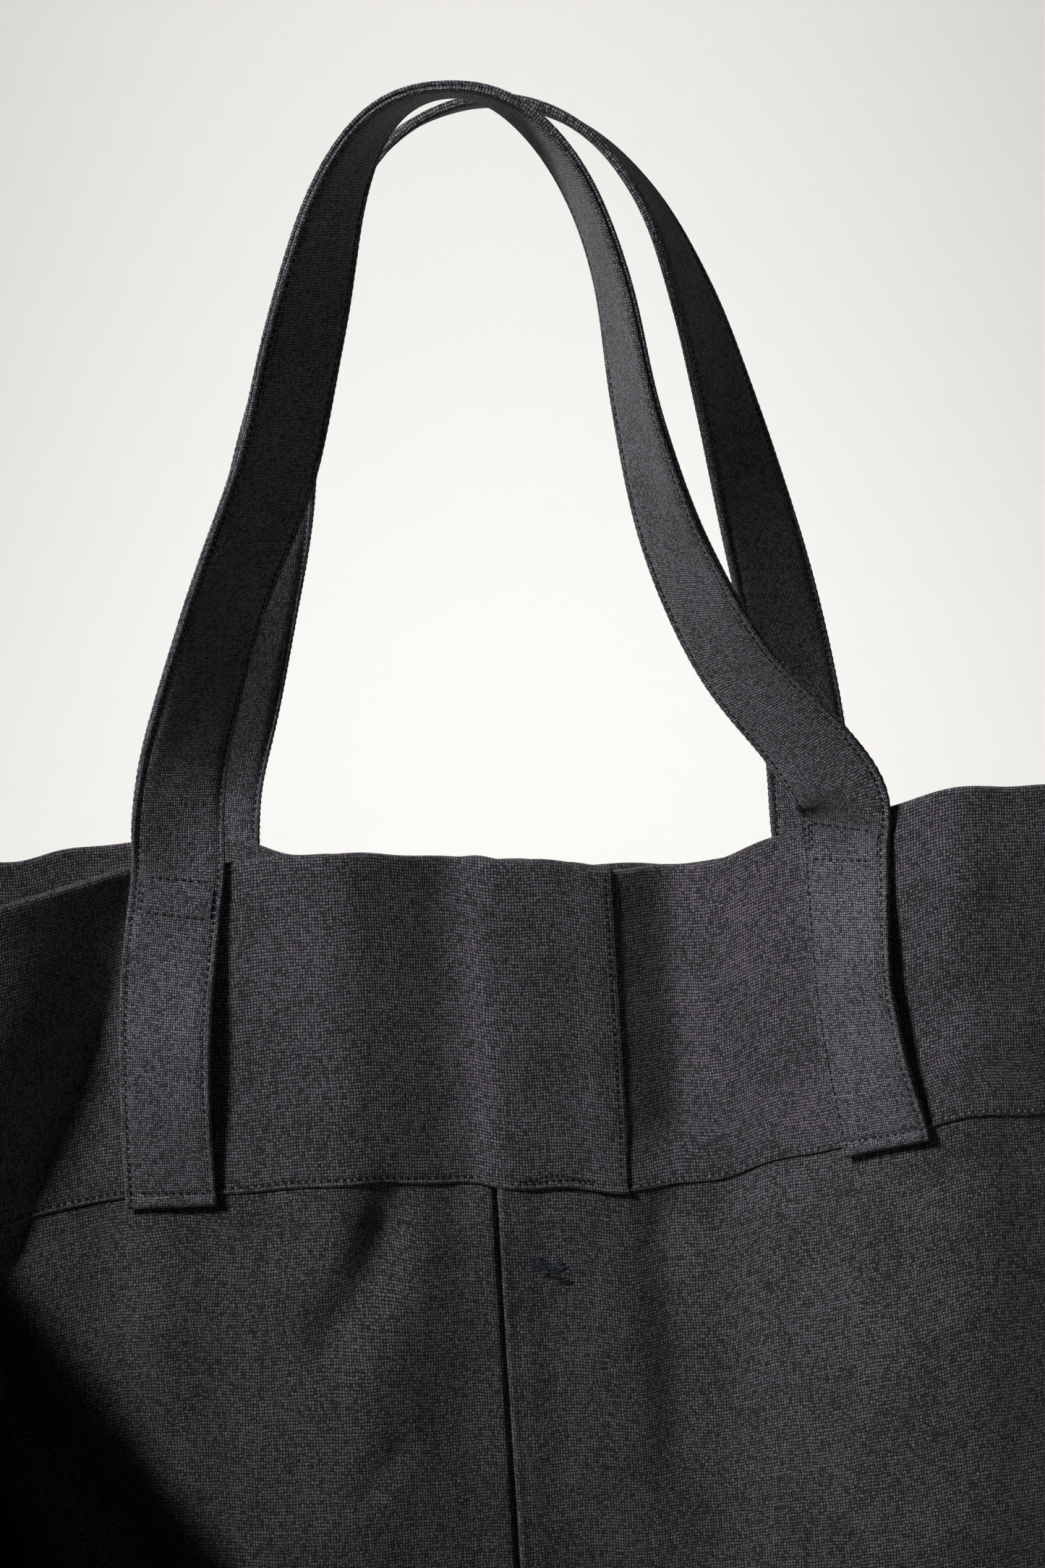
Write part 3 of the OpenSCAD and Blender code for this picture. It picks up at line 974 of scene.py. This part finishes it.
# Rows of stitches: distance in from the strap's edge, pitch, and distance of the hem row from the strap's end
EDGE_INSET = 1.9
STITCH_PITCH = 2.3
HEM_ROW = 4.5


def hem_profile(even):
    """Share of the strap's thickness along it: both ends are puffed folds, pinched where the hem row runs."""
    from_end = np.minimum(even, even[-1] - even)
    puffed = 0.25 * bell(from_end - 2.3, 1.2)
    pinched = 0.38 * bell(from_end - HEM_ROW, 0.8)
    return rounded(from_end, 1.3) * (1 + puffed - pinched)


def strap_section(aside):
    """Half thickness of the folded strap at a distance from its middle line: it is pinched at both rows."""
    row = STRAP_WIDTH / 2 - EDGE_INSET
    pinch = 0.6 * bell(np.abs(aside) - row, 0.8)
    return STRAP_THICK / 2 - pinch


def strap_surface(line, station, aside, face):
    """Point on a strap's face (1 outer, -1 inner) at a station number and a distance from the middle line."""
    p, wide, thick, even = line
    half_thick = strap_section(aside) * hem_profile(even)[station]
    return p[station] + wide[station] * aside + thick[station] * np.expand_dims(face * half_thick, -1)


def strap_piece(name, side):
    """A strap of four folded layers. Its outer edge is open, with two folds and a groove between them."""
    p, wide, thick, even = line = strap_line(side)
    rows = len(even)
    half = STRAP_WIDTH / 2
    # Section, as distance from the middle line and share of the half thickness
    outer_half = [3, 6, 9, 10.8, 11.6, 12.1, 12.5, 12.9]
    face_at = [-a for a in outer_half[::-1]] + [0] + outer_half
    upper = [(a, 1) for a in face_at]
    # Open edge: two small round folds, the groove between them goes in
    open_edge = [(half - 0.35, 0.86), (half, 0.5), (half - 0.3, 0.2), (half - 1.1, 0.0),
                 (half - 0.3, -0.2), (half, -0.5), (half - 0.35, -0.86)]
    lower = [(a, -1) for a in face_at[::-1]]
    closed_edge = [(-half + 0.3, -0.85), (-half, -0.45), (-half - 0.05, 0.0),
                   (-half, 0.45), (-half + 0.3, 0.85)]
    section = upper + open_edge + lower + closed_edge
    n = len(section)
    wave = np.random.default_rng(5 + side)
    points = np.zeros((rows, n, 3))
    phase = wave.uniform(0, 6.28, 6)
    slow = 0.18 * np.sin(even / 31 + phase[0]) + 0.14 * np.sin(even / 13 + phase[1])
    stitch_wave = np.cos(2 * math.pi * even / STITCH_PITCH)
    scallop = 0.1 * stitch_wave
    hem = hem_profile(even)
    for k, (aside, level) in enumerate(section):
        at_edge = max(0, abs(aside) - half + EDGE_INSET) / EDGE_INSET
        a = aside + np.sign(aside) * (slow * abs(aside) / half + scallop * at_edge)
        thickness = strap_section(np.full(rows, float(aside)))
        row_near = bell(abs(aside) - (half - EDGE_INSET), 0.7)
        pucker = 1 - 0.12 * row_near * (1 + stitch_wave) / 2
        puff = 0.12 * np.sin(even / 9 + phase[2] + aside * 0.4) * (1 - at_edge)
        t = (level * thickness * pucker + puff) * hem
        points[:, k] = p + wide * a[:, None] + thick * t[:, None]
    gaps = [math.dist(section[k], section[k - 1]) for k in range(n)]
    around = np.cumsum([0] + gaps[1:])
    at = np.arange(rows * n).reshape(rows, n)
    nxt = np.roll(at, -1, axis=1)
    faces = quads(at[:-1], at[1:], nxt[1:], nxt[:-1])
    u_here = np.tile(around, (rows - 1, 1))
    u_next = np.tile(np.append(around[1:], around[-1] + gaps[0]), (rows - 1, 1))
    v_here = np.tile(even[:, None], (1, n))
    corner_u = np.stack([u_here, u_here, u_next, u_next], -1)
    corner_v = np.stack([v_here[:-1], v_here[1:], v_here[1:], v_here[:-1]], -1)
    uvs = np.stack([corner_u, corner_v], -1).reshape(-1, 4, 2)
    ends = [list(range(n)), [(rows - 1) * n + k for k in range(n)][::-1]]
    if side == BACK:
        faces = faces[:, ::-1]
        uvs = uvs[:, ::-1]
        ends = [e[::-1] for e in ends]
    end_uvs = [(around[k % n], 0) for e in ends for k in e]
    all_uvs = np.concatenate([uvs.reshape(-1, 2), end_uvs])
    return mesh_object(name, points.reshape(-1, 3), faces.tolist() + ends, all_uvs, strap_canvas), line


def stitch_tubes(name, starts, ends, normals, thickness, material, raised):
    """Separate stitches: each dives into the cloth at both ends and stands proud between them."""
    sunk = 0.25
    starts, ends, normals = np.asarray(starts), np.asarray(ends), np.asarray(normals)
    along = unit(ends - starts)
    normals = unit(normals - along * np.sum(normals * along, -1)[:, None])
    sideways = np.cross(along, normals)
    steps = np.array([0, 0.1, 0.32, 0.68, 0.9, 1])
    sizes = np.array([0.35, 0.85, 1, 1, 0.85, 0.35]) * thickness / 2
    lifts = -sunk + (raised + sunk) * np.sin(math.pi * np.clip(steps, 0.02, 0.98)) ** 0.6
    sides = 6
    angle = np.arange(sides) * 2 * math.pi / sides
    count = len(starts)
    grid = np.zeros((count, len(steps), sides, 3))
    for i, (t, r, lift) in enumerate(zip(steps, sizes, lifts)):
        centre = mix(starts, ends, t) + normals * lift
        for k, w in enumerate(angle):
            grid[:, i, k] = centre + sideways * math.cos(w) * r + normals * math.sin(w) * r
    rings = len(steps)
    at = np.arange(rings * sides).reshape(rings, sides)
    nxt = np.roll(at, -1, axis=1)
    one = quads(at[:-1], nxt[:-1], nxt[1:], at[1:]).tolist()
    one += [list(at[0][::-1]), list(at[-1])]
    length = np.linalg.norm(ends - starts, axis=-1)
    faces = []
    uvs = []
    for c in range(count):
        base_index = c * rings * sides
        for f in one:
            faces.append([base_index + k for k in f])
            uvs.extend([(steps[k // sides] * length[c] + c, (k % sides) * 0.3) for k in f])
    return mesh_object(name, grid.reshape(-1, 3), faces, uvs, material)


def row_on_path(path, normals, seed, share=0.55, pitch=STITCH_PITCH):
    """Starts, ends and normals of the stitches of one row along a path of points.
    share is how much of the pitch a stitch takes up."""
    distance = length_along(path)
    jitter = np.random.default_rng(seed)
    begin = np.arange(pitch * 0.2, distance[-1] - pitch, pitch)
    begin = begin + jitter.uniform(-0.12, 0.12, len(begin))
    finish = begin + pitch * (share + jitter.uniform(-0.05, 0.05, len(begin)))
    middle = (begin + finish) / 2
    return between(begin, distance, path), between(finish, distance, path), between(middle, distance, normals)


def joined(rows):
    return [np.concatenate([r[k] for r in rows]) for k in range(3)]


def row_across(line, station, reach, seed):
    """A row across the outer face of a strap, reach millimetres to both sides."""
    across = np.linspace(-reach, reach, 30)
    path = np.array([strap_surface(line, station, a, 1) for a in across])
    return row_on_path(path, np.tile(line[2][station], (len(across), 1)), seed)


def strap_rows(line):
    """Both edge rows on both faces of a strap, and the hem row across each end."""
    _, _, thick, even = line
    rows = []
    row = STRAP_WIDTH / 2 - EDGE_INSET
    stations = np.arange(len(even))
    for face in (1, -1):
        for edge in (-1, 1):
            path = strap_surface(line, stations, edge * row, face)
            rows.append(row_on_path(path, thick * face, seed=7 + face + 3 * edge))
    for d in (HEM_ROW, even[-1] - HEM_ROW):
        rows.append(row_across(line, np.searchsorted(even, d), row - 1, seed=41))
    return joined(rows)


def box_rows(line):
    """Box stitching just below the rim: dark rows across, and a line of navy thread down each side with
    a row of dark dashes beside it: painted shade for the shaded side of each navy bar."""
    p, _, thick, even = line
    dark = []
    navy = []
    drop = 3.4
    height = 11.5
    half = 11
    shade_row_gap = 1.1
    loop_start = RIM - TAIL_LOW
    stations = np.arange(len(even))
    for at_end in (False, True):
        span = np.array([loop_start - drop - height, loop_start - drop])
        low, high = sorted(even[-1] - span) if at_end else span
        for d in (low, high):
            dark.append(row_across(line, np.searchsorted(even, d), half - 1.2, seed=int(d)))
        inside = stations[(even > low) & (even < high)]
        for edge in (-1, 1):
            path = strap_surface(line, inside, edge * half, 1)
            navy.append(row_on_path(path, thick[inside], seed=3, share=0.97))
            right = 1 if p[inside[0], 0] < 0 else -1
            # Dark dashes beside the navy line: painted shade for the navy bar's shaded side.
            beside = strap_surface(line, inside, edge * half - right * shade_row_gap, 1)
            dark.append(row_on_path(beside, thick[inside], seed=5, share=0.4))
    return joined(dark), joined(navy)


def sew(name, label, rows, thickness, material, raised, slot, *nodes):
    """Keeps rows of stitches as one piece."""
    keep(name, stitch_tubes(label, *rows, thickness, material, raised), slot, *nodes)


def straps():
    for side, name in ((FRONT, "front"), (BACK, "back")):
        piece, line = strap_piece(name + "_strap", side)
        keep(name + "_strap", piece, "strap_canvas",
             f"{name}_left_tail", f"{name}_right_tail", f"{name}_handle")
        sew(name + "_edge", name + "_strap_stitching", strap_rows(line), 0.72, dark_thread, 0.05,
            "dark_thread", f"{name}_tail_stitches", f"{name}_handle_stitches")
        # dashes holds the dark rows across and the painted-shade dashes beside the navy bars.
        dashes, bars = box_rows(line)
        sew(name + "_dashes", name + "_box_dashes", dashes, 0.68, dark_thread, 0.08, "dark_thread")
        sew(name + "_bars", name + "_box_bars", bars, 0.62, navy_thread, 0.3,
            "navy_thread", f"{name}_box_stitches")


straps()

# ---- sewing on the walls


def wall_row(u, v, out, seed, pitch=STITCH_PITCH):
    """One row of stitches along a line in cloth coordinates."""
    return row_on_path(wall(u, v, out), sample(wall_outward, u, v), seed, pitch=pitch)


def wall_sewing():
    low = BAND_LOW + BAND_ROW
    count = 500

    def line(start, end, out, seed):
        u = np.linspace(start, end, count)
        return wall_row(u, np.full(count, low), out, seed=seed)

    front = joined([line(-QUARTER + 1, LAP_FROM, BAND_OUT, 51), line(LAP_TO + 3, QUARTER - 1, BAND_OUT, 52)])
    sew("front_band_row", "front_band_stitching", front, 0.68, dark_thread, 0.02,
        "dark_thread", "front_band_stitches")
    back = line(QUARTER + 1, PERIMETER - QUARTER - 1, BAND_OUT, 53)
    sew("back_band_row", "back_band_stitching", back, 0.68, dark_thread, 0.02,
        "dark_thread", "back_band_stitches")
    edge_u = LAP_TO - 2.2
    down = np.linspace(RIM - 2, low + 1, count)
    rows = [wall_row(np.full(count, edge_u), down, LAP_OUT + 0.5, seed=54)]
    u = np.linspace(LAP_FROM, LAP_TO - 2, count)
    rows.append(wall_row(u, low + 0.4 * np.sin(u / 5), LAP_OUT + 0.1, pitch=2.1, seed=55))
    short = u[100:420]
    rows.append(wall_row(short, low + 1.4 + 0.7 * np.sin(short / 3), LAP_OUT + 0.1, pitch=1.7, seed=56))
    sew("lap_rows", "lap_stitching", joined(rows), 0.68, dark_thread, 0.06,
        "dark_thread", "front_lap_stitches")


def mend():
    """A small darn: uneven runs of navy thread, with a tight dark slit under them."""
    centre_u = 3
    centre_v = 243
    slope = -0.35

    def runs(count, u_range, v_range, lengths, tilts, seed):
        darn = np.random.default_rng(seed)
        across = darn.uniform(*u_range, count)
        u = centre_u + across
        v = centre_v + darn.uniform(*v_range, count) + slope * across
        half = darn.uniform(*lengths, count) / 2
        tilt = darn.uniform(*tilts, count)
        return wall(u - half, v + tilt, CLOTH), wall(u + half, v - tilt, CLOTH), sample(wall_outward, u, v)

    threads = runs(26, (-6, 5), (-1.6, 2.6), (1.6, 4.5), (-0.3, 0.7), 8)
    sew("mend", "darned_mend_threads", threads, 0.5, mend_thread, 0.3, "navy_thread", "darned_mend")
    slit = runs(12, (-2, 6), (-3.4, -2.2), (2, 4.5), (-0.3, 0.4), 9)
    sew("mend_slit", "darned_mend_slit", slit, 0.6, dark_thread, 0.1, "dark_thread")


wall_sewing()
mend()

# ---- bodies


def set_bodies():
    """Bakes the walls' and straps' placement into their meshes, and hangs the box stitching and the base on
    their bodies.
    """
    for name in ("front_left_panel", "front_right_panel", "band_left", "band_right", "front_facing",
                 "front_band_row", "lap_rows", "mend", "mend_slit"):
        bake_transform(pieces[name])
    for name in ("back_left_panel", "back_right_panel", "band_back", "back_facing", "back_band_row"):
        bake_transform(pieces[name])
    for name in ("front_dashes", "front_bars"):
        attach(pieces[name], "front_wall")
    for name in ("back_dashes", "back_bars"):
        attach(pieces[name], "back_wall")
    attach(pieces["base"], "base")
    for side in ("front", "back"):
        for part in ("strap", "edge"):
            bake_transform(pieces[f"{side}_{part}"])


set_bodies()

# ---- stage, light and camera


WARM_WHITE = (1.0, 0.985, 0.965)


def paper():
    """Pale paper. It glows a little far from the bag, where no lamp reaches, to look even from every side."""
    g = Graph("studio_paper")
    x, y, z = g.parts(g.node("ShaderNodeTexCoord").outputs["Object"])
    away = g.math("SQRT", g.math("ADD", g.times(x, x), g.times(y, y)))
    not_behind = g.math("MAXIMUM", g.span(y, 0.6, -1.0, 0, 1), g.span(g.math("ABSOLUTE", x), 2.0, 4.0, 0, 1))
    on_floor = g.span(z, 0.0, 0.1, 1, 0)
    glow = g.times(g.times(g.span(away, 1.0, 4.0, 0, 0.32), not_behind), on_floor)
    g.surface({"Base Color": (0.86, 0.855, 0.845, 1), "Roughness": 0.95, "Specular IOR Level": 0.1,
               "Emission Color": (1.0, 0.99, 0.975, 1), "Emission Strength": glow})
    return g.material


def stage_piece(name, points, faces, material):
    mesh = bpy.data.meshes.new(name)
    mesh.from_pydata(points, [], faces)
    mesh.polygons.foreach_set("use_smooth", [True] * len(faces))
    mesh.materials.append(material)
    thing = placed(name, mesh)
    return thing


def sweep():
    """Floor, in metres, that bends up into a wall behind the bag."""
    width = 60.0
    bend_start = 1.6
    radius = 1.2
    rows = [(-60.0, 0.0), (bend_start, 0.0)]
    for a in np.radians(np.arange(6, 91, 6)):
        rows.append((bend_start + radius * math.sin(a), radius * (1 - math.cos(a))))
    rows.append((bend_start + radius, 5.0))
    points = [(x, y, z) for y, z in rows for x in (-width, width)]
    faces = [(2 * i, 2 * i + 1, 2 * i + 3, 2 * i + 2) for i in range(len(rows) - 1)]
    stage_piece("studio_sweep", points, faces, paper())


def lamp(name, kind, place, target, power, **settings):
    """Warm light at a place, aimed at a target."""
    light = bpy.data.lights.new(name, kind)
    light.energy = power
    light.color = WARM_WHITE
    for key, value in settings.items():
        setattr(light, key, value)
    holder = placed(name, light)
    holder.location = place
    holder.rotation_euler = (Vector(target) - Vector(place)).to_track_quat("-Z", "Y").to_euler()


def lights():
    """Key light from the upper left, a glow on the paper behind the bag, and a little light all round."""
    key_place = Vector((-1.25, -1.3, 1.6))
    lamp("key", "SPOT", key_place, (0.03, -0.03, 0.5), 205,
         spot_size=math.radians(24), spot_blend=0.75, shadow_soft_size=0.22)
    lamp("backdrop_glow", "AREA", (0.0, 1.1, 2.2), (0, 2.15, 0.0), 24,
         shape="DISK", size=0.9, spread=math.radians(120))
    flag(key_place)
    world = bpy.data.worlds.new("studio_air")
    world.use_nodes = True
    air = world.node_tree.nodes["Background"].inputs
    air["Color"].default_value = (0.93, 0.95, 1.0, 1)
    air["Strength"].default_value = 0.013
    bpy.context.scene.world = world
    bpy.context.scene.view_settings.view_transform = "Standard"


def flag(light_place):
    """A dark card in front of the light, unseen by the camera. It shades the low left corner of the bag."""
    shade_edge = ((-190, -32, 285), (-108, -43, 159), (-60, -45, 90), (-40, -45, 10))
    behind_side = ((-215, 90, -60), (-215, 90, 285))
    shaded = [Vector(p) * MM for p in (*shade_edge, *behind_side)]
    standing_off = 0.1
    points = [p + (light_place - p).normalized() * standing_off for p in shaded]
    card = Graph("studio_flag_black")
    card.surface({"Base Color": (0.01, 0.01, 0.01, 1)})
    thing = stage_piece("studio_flag", points, [tuple(range(len(points)))], card.material)
    thing.visible_camera = False


def camera():
    """The photograph's view: near, long lens, a little above, with the bag leaning slightly."""
    target = Vector((3.6, -35, 392)) * MM
    distance = 0.9
    elevation = math.radians(9)
    roll = math.radians(3.5)
    ahead = Vector((0, math.cos(elevation), -math.sin(elevation)))
    lens = bpy.data.cameras.new("photo_camera")
    lens.lens = 69.0
    lens.sensor_width = 36
    holder = placed("photo_camera", lens)
    turn = ahead.to_track_quat("-Z", "Y").to_matrix() @ Matrix.Rotation(-roll, 3, "Z")
    holder.matrix_world = Matrix.Translation(target - ahead * distance) @ turn.to_4x4()
    bpy.context.scene.camera = holder


sweep()
lights()
camera()
